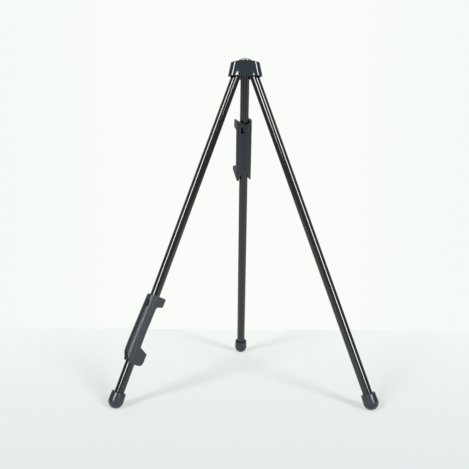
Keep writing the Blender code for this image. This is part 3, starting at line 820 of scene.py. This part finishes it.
def half_outline(holders, cut_back):
    """Corners of half the holder, rolled flat: along the wall from the middle of the back, up
    the leg, and the rounding there. One of the lower ears is cut back from its toe."""
    top, bottom, flat = holders.over_sleeve, lower_end(holders), quarter(holders)
    ear_tip = top - holders.upper_ear_length
    ear_root = ear_tip - (holders.upper_ear - holders.front) * math.tan(holders.upper_ear_slope)
    rest_root = bottom + holders.lower_ear_length
    rest_tip = rest_root - (holders.lower_ear - holders.front) * math.tan(holders.rest_slope)
    toe = [(flat + holders.lower_ear, bottom, holders.lower_ear_round)]
    if cut_back:
        cut = rest_tip - holders.toe_edge
        toe = [(flat + holders.lower_ear, cut, holders.rest_round), (flat, bottom, holders.toe_round)]
    return [
        (flat + holders.upper_ear, top, holders.upper_ear_round),
        (flat + holders.upper_ear, ear_tip, holders.upper_ear_round),
        (flat + holders.front, ear_root, holders.ear_fillet),
        (flat + holders.front, rest_root, holders.rest_round),
        (flat + holders.lower_ear, rest_tip, holders.rest_round),
        *toe,
    ]


def arch_points(holders):
    """Points of the arch in the back's lower end, rolled flat, from right to left."""
    bottom = lower_end(holders)
    half = holders.half_width - holders.arch_side
    reach = math.asin(half / holders.half_width)
    turns = [reach * math.cos(math.pi * i / ARCH_STEPS) for i in range(ARCH_STEPS + 1)]
    heights = [math.sqrt(max(0, 1 - (holders.half_width * math.sin(t) / half) ** 2)) for t in turns]
    return [(holders.half_width * t, 0, bottom + holders.arch_height * h) for t, h in zip(turns, heights)]


def dip_points(holders):
    """Points of the dip in the back's top edge, rolled flat, from left to right."""
    steps = [i / DIP_STEPS for i in range(-DIP_STEPS, DIP_STEPS + 1)]
    reach = holders.half_width * holders.top_dip_turn
    drops = [holders.top_dip * (1 + math.cos(math.pi * step)) / 2 for step in steps]
    return [(reach * step, 0, holders.over_sleeve - drop) for step, drop in zip(steps, drops)]


def roll(holders, point):
    """Bends a flat point round the trough and draws the back's lower end in."""
    radius = holders.half_width
    turn = max(-math.pi / 2, min(math.pi / 2, point.x / radius))
    forward = max(0, abs(point.x) - quarter(holders))
    x, y = forward - radius * math.cos(turn), radius * math.sin(turn)
    run = max(0, 1 - (point.z - lower_end(holders)) / holders.taper_length)
    ease = 0.6
    drawn = holders.taper * run * run * (1 + ease - ease * run) / radius
    return Vector((x * (1 - drawn) if x < 0 else x, y, point.z))


def cut_along(shape, axis, places):
    """Cuts a flat sheet across an axis at each place."""
    for place in places:
        bmesh.ops.bisect_plane(
            shape,
            geom=shape.verts[:] + shape.edges[:] + shape.faces[:],
            dist=ON_PLANE,
            plane_co=axis * place,
            plane_no=axis,
        )


def trough(holders):
    """The holder's wall: a flat sheet with windows and an arch, rolled and thickened."""
    shape = bmesh.new()
    right = half_outline(holders, cut_back=True)
    left = [(-u, z, r) for u, z, r in reversed(half_outline(holders, cut_back=False))]
    plain = [(x, z, 0) for x, _, z in arch_points(holders)]
    dip = [(x, z, 0) for x, _, z in dip_points(holders)]
    corners = [*right, *plain, *left, *dip]
    outline = wire(shape, [(u, 0, z) for u, z, _ in corners], closed=True)
    corners = [(vert, corner[2]) for vert, corner in zip(outline, corners)]
    window_top = holders.over_sleeve - holders.window_drop
    windows = []
    for side in (-1, 1):
        middle = side * holders.half_width * holders.window_turn
        sides = (middle - holders.window_width / 2, middle + holders.window_width / 2)
        ends = (window_top - holders.window_length, window_top)
        points = [(sides[i], 0, ends[j]) for i, j in ((0, 0), (1, 0), (1, 1), (0, 1))]
        windows += wire(shape, points, closed=True)
    round_corners(shape, corners, segments=8)
    round_corners(shape, [(vert, holders.window_round) for vert in windows], segments=4)
    bmesh.ops.triangle_fill(
        shape, use_beauty=True, use_dissolve=False, edges=shape.edges[:], normal=(0, -1, 0)
    )
    bottom, flat = lower_end(holders), quarter(holders)
    columns = [flat * i / ROLL_STEPS for i in range(-ROLL_STEPS, ROLL_STEPS + 1)]
    rows = [bottom + holders.taper_length * i / TAPER_STEPS for i in range(1, TAPER_STEPS + 1)]
    cut_along(shape, Vector((1, 0, 0)), columns)
    cut_along(shape, Vector((0, 0, 1)), rows)
    bmesh.ops.dissolve_limit(
        shape, angle_limit=math.radians(0.5), verts=shape.verts[:], edges=inner_edges(shape, holders)
    )
    for vert in shape.verts:
        vert.co = roll(holders, vert.co)
    bmesh.ops.recalc_face_normals(shape, faces=shape.faces[:])
    face = min(shape.faces, key=lambda f: f.calc_center_median().x)
    if face.normal.x > 0:
        bmesh.ops.reverse_faces(shape, faces=shape.faces[:])
    bmesh.ops.solidify(shape, geom=shape.verts[:] + shape.edges[:] + shape.faces[:], thickness=holders.wall)
    return shape


def inner_edges(shape, holders):
    """Edges of the flat sheet that only its filling made: neither cuts nor outline."""
    side, top = quarter(holders) + SLACK, lower_end(holders) + holders.taper_length + SLACK
    found = []
    for edge in shape.edges:
        a, b = (vert.co for vert in edge.verts)
        on_turn = abs(a.x - b.x) < MERGE and abs(a.x) < side
        on_row = abs(a.z - b.z) < MERGE and a.z < top
        if len(edge.link_faces) == 2 and not on_turn and not on_row:
            found.append(edge)
    return found


def lean_play(holders, distance):
    """Room that a leaning holder takes at a distance from the sleeve's middle."""
    return abs(distance) * math.tan(holders.lean)


def snap_lip(shape, holders, legs, side, low, end):
    """A lip on an ear's inner face that snaps over the tube: a small block, tapered to its tip."""
    tube = legs.tube_diameter / 2
    near = tube + legs.clearance + lean_play(holders, end)
    root = holders.half_width - holders.wall * BEDDED
    tip = tube - holders.lip_grip
    thick = holders.lip_thickness
    points = [(near, root), (near, tip), (near + thick / 2, tip), (near + thick, root)]
    face = shape.faces.new([shape.verts.new((x, side * y, low)) for x, y in points])
    made = bmesh.ops.extrude_face_region(shape, geom=[face])["geom"]
    moved = [item for item in made if isinstance(item, bmesh.types.BMVert)]
    bmesh.ops.translate(shape, verts=moved, vec=(0, 0, holders.lip_length))


def sleeve_ledge(shape, holders, legs, low):
    """A ledge round the inside of the trough that keeps the grip sleeve."""
    outer = holders.half_width - holders.wall * BEDDED
    reach = holders.sleeve_length / 2 + holders.sleeve_play + holders.web
    inner = legs.tube_diameter / 2 + legs.clearance + lean_play(holders, reach)
    high = low + holders.web
    corners = ((inner, low), (outer, low), (outer, high), (inner, high))
    face = shape.faces.new([shape.verts.new((0, y, z)) for y, z in corners])
    bmesh.ops.spin(shape, geom=[face], cent=(0, 0, 0), axis=(0, 0, 1), angle=math.pi, steps=LEDGE_STEPS)


def clip_holder(holders, legs):
    """The holder: its trough, a lip on each ear and a ledge above and below the sleeve."""
    shape = trough(holders)
    top, bottom = holders.over_sleeve, lower_end(holders)
    for side in (-1, 1):
        snap_lip(shape, holders, legs, side, top - holders.upper_lip - holders.lip_length, top)
        snap_lip(shape, holders, legs, side, bottom + holders.lower_lip, bottom)
    play = legs.clearance + lean_play(holders, holders.half_width - holders.wall - holders.sleeve_play)
    rise = holders.sleeve_length / 2 + play
    for low in (rise, -rise - holders.web):
        sleeve_ledge(shape, holders, legs, low)
    bmesh.ops.recalc_face_normals(shape, faces=shape.faces[:])
    return shape


def grip_sleeve(holders, legs):
    """A split sleeve: a rounded section spun round the tube, open towards the hooks."""
    shape = bmesh.new()
    inner = legs.tube_diameter / 2 + legs.clearance
    outer = holders.half_width - holders.wall - holders.sleeve_play
    half = holders.sleeve_length / 2
    section = ((inner, half), (outer, half), (outer, -half), (inner, -half))
    profile(shape, [(*corner, holders.sleeve_round) for corner in section], closed=True, segments=3)
    face = bmesh.ops.contextual_create(shape, geom=shape.edges[:])["faces"]
    start = holders.sleeve_opening / 2
    bmesh.ops.rotate(shape, verts=shape.verts[:], cent=(0, 0, 0), matrix=Matrix.Rotation(start, 3, "Z"))
    sweep = math.tau - 2 * start
    bmesh.ops.spin(shape, geom=face, cent=(0, 0, 0), axis=(0, 0, 1), angle=sweep, steps=SLEEVE_STEPS)
    tidy(shape)
    return shape


def soften(made, width):
    """Rounds a piece's edges with a live Bevel modifier."""
    bevel = made.modifiers.new("rounded_edges", "BEVEL")
    bevel.width = width
    bevel.segments = 3
    bevel.limit_method = "ANGLE"
    bevel.angle_limit = HOLDER_CRISP
    bevel.harden_normals = True


# Stage


def seen_or_mirrored(tree):
    """Two marks: one for what the camera sees, one for what metal and glass show."""
    path = add(tree, "ShaderNodeLightPath").outputs
    return path["Is Camera Ray"], maths(tree, "MAXIMUM", path["Is Glossy Ray"], path["Is Transmission Ray"])


def table_top(stage):
    """A plain pale table that ends behind the easel, with faint marks of use, and painted shade that darkens
    it towards the front.
    """
    width, depth = TABLE_HALF
    shape = bmesh.new()
    bmesh.ops.create_grid(shape, x_segments=1, y_segments=1, size=1)
    bmesh.ops.scale(shape, verts=shape.verts[:], vec=(width, depth, 1))
    bmesh.ops.translate(shape, verts=shape.verts[:], vec=(0, stage.table_back - depth, 0))
    mesh = bpy.data.meshes.new("table_top")
    shape.to_mesh(mesh)
    shape.free()
    material, tree, shader = finish("pale_table", {"Roughness": 0.9, "Specular IOR Level": 0.2})
    place = object_place(tree)
    cloud = grain(tree, place, 7, 3)
    marks = ramp(tree, grain(tree, stretched(tree, place, (60, 160, 1)), 1, 3), 0.66, 0.80)
    back = add(tree, "ShaderNodeSeparateXYZ", {0: place}).outputs["Y"]
    # Painted shade: the colour darkens from the back edge towards the front, where the front panels light the
    # table more strongly.
    painted_shade = ramp(tree, back, stage.table_back, -stage.table_fade)
    base = blend(tree, painted_shade, tuple(stage.table), tuple(stage.table_front_painted_shade))
    worn = blend(tree, 0.2, base, (0, 0, 0))
    base = blend(tree, maths(tree, "MULTIPLY", cloud, 0.04), base, worn)
    base = blend(tree, maths(tree, "MULTIPLY", marks, 0.20), base, worn)
    shown = maths(tree, "MAXIMUM", *seen_or_mirrored(tree))
    share = maths(tree, "MULTIPLY", shown, stage.table_glow)
    wear_to(tree, shader, Base_Color=blend(tree, share, base, (0, 0, 0)))
    wear_to(tree, shader, Emission_Color=base, Emission_Strength=share)
    mesh.materials.append(material)
    table = put("table_top", mesh)


def backdrop(stage):
    """White behind the easel and dim in front of it; the camera sees white all round, with painted shade that
    darkens it towards the sides.
    """
    world = bpy.data.worlds.new("studio")
    bpy.context.scene.world = world
    world.use_nodes = True
    tree = world.node_tree
    tree.nodes.clear()
    around = add(tree, "ShaderNodeTexCoord").outputs["Generated"]
    towards = add(tree, "ShaderNodeSeparateXYZ", {0: around}).outputs
    risen = maths(tree, "MULTIPLY", towards["Z"], BACKDROP_LEAN)
    behind = ramp(tree, maths(tree, "ADD", towards["Y"], risen), *BACKDROP_WHITE)
    seen, mirrored = seen_or_mirrored(tree)
    white = maths(tree, "MULTIPLY", behind, mirrored)
    light = blend(tree, white, tuple(stage.room), tuple(stage.backdrop))
    # Painted shade: the backdrop that the camera sees darkens towards its sides.
    side_shade = ramp(tree, maths(tree, "ABSOLUTE", towards["X"], 0.0), *BACKDROP_SIDE_SHADE)
    paper_with_shade = blend(tree, side_shade, tuple(stage.backdrop), tuple(stage.backdrop_side_painted_shade))
    sky = blend(tree, seen, light, paper_with_shade)
    shown = add(tree, "ShaderNodeBackground", {"Color": sky, "Strength": 1.0})
    output = add(tree, "ShaderNodeOutputWorld")
    tree.links.new(shown.outputs["Background"], output.inputs["Surface"])


def panel_light(name, at, size, brightness):
    """A flat light that faces the middle of the easel."""
    lamp = bpy.data.lights.new(name, "AREA")
    lamp.shape = "RECTANGLE"
    lamp.size, lamp.size_y = size
    lamp.energy = brightness * math.pi * size[0] * size[1]
    made = put(name, lamp)
    made.location = at
    made.rotation_euler = (at - EYE).to_track_quat("Z", "Y").to_euler()
    made.visible_camera = False
    return made


def front_panel(name, turn, low, top, stage):
    """A panel in front of the easel, given by the angles at which the easel sees it."""
    distance = stage.panel_distance
    lift = Matrix.Rotation(-(low + top) / 2, 3, "X")
    aim = Matrix.Rotation(turn, 3, "Z") @ lift @ Vector((0, -distance, 0))
    size = [2 * distance * math.tan(part / 2) for part in (stage.panel_width, top - low)]
    return panel_light(name, EYE + aim, size, stage.panel_level)


def keep_off(light, name):
    """Keeps a light off one piece, as a black card beside the light would."""
    shaded = bpy.data.collections.new(f"{light.name}_shaded")
    shaded.objects.link(bpy.data.objects[name])
    light.light_linking.receiver_collection = shaded
    for link in shaded.collection_objects:
        link.light_linking.link_state = "EXCLUDE"


def photo_camera(stage):
    """The camera, where the photograph was taken from."""
    camera = bpy.data.cameras.new("photo_camera")
    camera.lens = stage.lens
    camera.sensor_width = SENSOR_WIDTH
    camera.sensor_fit = "HORIZONTAL"
    made = put("photo_camera", camera)
    axes = Matrix((CAMERA_RIGHT, CAMERA_UP, CAMERA_RIGHT.cross(CAMERA_UP)))
    made.matrix_world = Matrix.Translation(CAMERA_AT) @ axes.transposed().to_4x4()
    bpy.context.scene.camera = made


# Operators


def leg_pieces(easel, name, shaped, material, node):
    """Makes a like piece on each leg."""
    for side in SIDES:
        place = leg_place(side, easel.legs.tilt)
        nodes = [f"{side}_{node}"]
        piece(f"{side}_{name}", shaped(easel.legs), place, material, f"{side}_leg", nodes)


class EASEL_OT_hub(bpy.types.Operator):
    """Makes the hub's shell and its cap"""

    bl_idname = "easel.hub"
    bl_label = "Hub"

    def execute(self, context):
        easel = context.scene.easel
        plain = gloss_moulding(easel, "gloss_black_moulding", 0.0)
        polished = gloss_moulding(easel, "polished_black_moulding", 1.0)
        shell, cap = hub_shell(easel.hub), hub_cap(easel.hub)
        piece("hub_shell_moulding", shell, hub_axis(), plain, "hub", ["hub_shell"])
        piece("hub_cap_moulding", cap, hub_axis(), polished, "hub", ["hub_cap"])
        return {"FINISHED"}


class EASEL_OT_tubes(bpy.types.Operator):
    """Makes the three painted leg tubes"""

    bl_idname = "easel.tubes"
    bl_label = "Leg tubes"

    def execute(self, context):
        easel = context.scene.easel
        leg_pieces(easel, "painted_tube", leg_tube, gloss_paint(easel), "leg_tube")
        return {"FINISHED"}


class EASEL_OT_feet(bpy.types.Operator):
    """Makes the three rubber feet"""

    bl_idname = "easel.feet"
    bl_label = "Feet"

    def execute(self, context):
        easel = context.scene.easel
        leg_pieces(easel, "rubber_foot", rubber_foot, foot_rubber(easel), "foot")
        return {"FINISHED"}


class EASEL_OT_holders(bpy.types.Operator):
    """Makes the two clip-on holders"""

    bl_idname = "easel.holders"
    bl_label = "Holders"

    def execute(self, context):
        easel = context.scene.easel
        moulding = satin_moulding(easel)
        for side in HOLDER_SIDES:
            lean = easel.holders.lean if side == "left" else 0
            place = clip_place(side, easel) @ Matrix.Rotation(lean, 4, "Y")
            shape = clip_holder(easel.holders, easel.legs)
            body, nodes = f"{side}_clip", [f"{side}_holder"]
            made = piece(f"{side}_clip_holder", shape, place, moulding, body, nodes)
            soften(made, easel.holders.edge_round)
        return {"FINISHED"}


class EASEL_OT_sleeves(bpy.types.Operator):
    """Makes the two split grip sleeves"""

    bl_idname = "easel.sleeves"
    bl_label = "Grip sleeves"

    def execute(self, context):
        easel = context.scene.easel
        rubber = grip_rubber(easel)
        for side in HOLDER_SIDES:
            shape, place = grip_sleeve(easel.holders, easel.legs), clip_place(side, easel)
            body, nodes = f"{side}_slider", [f"{side}_grip_sleeve"]
            piece(f"{side}_split_sleeve", shape, place, rubber, body, nodes)
        return {"FINISHED"}


class EASEL_OT_inner(bpy.types.Operator):
    """Finishes the CAD pieces inside the hub and tubes"""

    bl_idname = "easel.inner"
    bl_label = "Pieces inside"

    def execute(self, context):
        easel = context.scene.easel
        nylon, steel = nylon_moulding(easel), plated_steel(easel)
        finishes = {"leg_carrier": nylon, "carrier_screw": steel, "screw_washer": steel}
        for side in SIDES:
            finishes[f"{side}_leg_plug"] = nylon
            finishes[f"{side}_pivot_pin"] = steel
        for name, material in finishes.items():
            for slot in frame["nodes"][name].material_slots:
                slot.material = material
        return {"FINISHED"}


class EASEL_OT_stage(bpy.types.Operator):
    """Makes the table, backdrop, lights and camera"""

    bl_idname = "easel.stage"
    bl_label = "Stage"

    def execute(self, context):
        stage = context.scene.easel.stage
        table_top(stage)
        backdrop(stage)
        for side, other in (("left", "right"), ("right", "left")):
            turn, low, card = (getattr(stage, f"{side}_panel{part}") for part in ("", "_low", "_card"))
            front_panel(f"{side}_panel", turn, card, stage.panel_top, stage)
            lower = front_panel(f"{side}_lower_panel", turn, low, card, stage)
            keep_off(lower, f"{other}_painted_tube")
        panel_light("overhead_panel", OVERHEAD_AT, OVERHEAD_SIZE, stage.overhead_level)
        photo_camera(stage)
        context.scene.view_settings.view_transform = "Standard"
        return {"FINISHED"}


class VIEW3D_PT_easel(bpy.types.Panel):
    """Lists the easel's settings and the operators that build it"""

    bl_label = "Display easel"
    bl_idname = "VIEW3D_PT_easel"
    bl_space_type = "VIEW_3D"
    bl_region_type = "UI"
    bl_category = "Easel"

    def draw(self, context):
        easel = context.scene.easel
        groups = (easel.hub, easel.legs, easel.holders, easel.finishes, easel.stage)
        for group in groups:
            box = self.layout.box()
            for key in group.bl_rna.properties.keys():
                if key not in {"rna_type", "name"}:
                    box.prop(group, key)
        column = self.layout.column(align=True)
        for operator in OPERATORS:
            column.operator(operator.bl_idname)


class Easel(bpy.types.PropertyGroup):
    """All settings of the easel"""

    legs: PointerProperty(type=EaselLegs)
    hub: PointerProperty(type=EaselHub)
    holders: PointerProperty(type=EaselHolders)
    finishes: PointerProperty(type=EaselFinishes)
    stage: PointerProperty(type=EaselStage)


OPERATORS = (
    EASEL_OT_hub,
    EASEL_OT_tubes,
    EASEL_OT_feet,
    EASEL_OT_holders,
    EASEL_OT_sleeves,
    EASEL_OT_inner,
    EASEL_OT_stage,
)
CLASSES = (EaselLegs, EaselHub, EaselHolders, EaselFinishes, EaselStage, Easel, *OPERATORS, VIEW3D_PT_easel)


def register():
    for item in CLASSES:
        bpy.utils.register_class(item)
    bpy.types.Scene.easel = PointerProperty(type=Easel)


def unregister():
    del bpy.types.Scene.easel
    for item in reversed(CLASSES):
        bpy.utils.unregister_class(item)


def main():
    register()
    bpy.ops.easel.hub()
    bpy.ops.easel.tubes()
    bpy.ops.easel.feet()
    bpy.ops.easel.holders()
    bpy.ops.easel.sleeves()
    bpy.ops.easel.inner()
    bpy.ops.easel.stage()


if __name__ == "__main__":
    main()
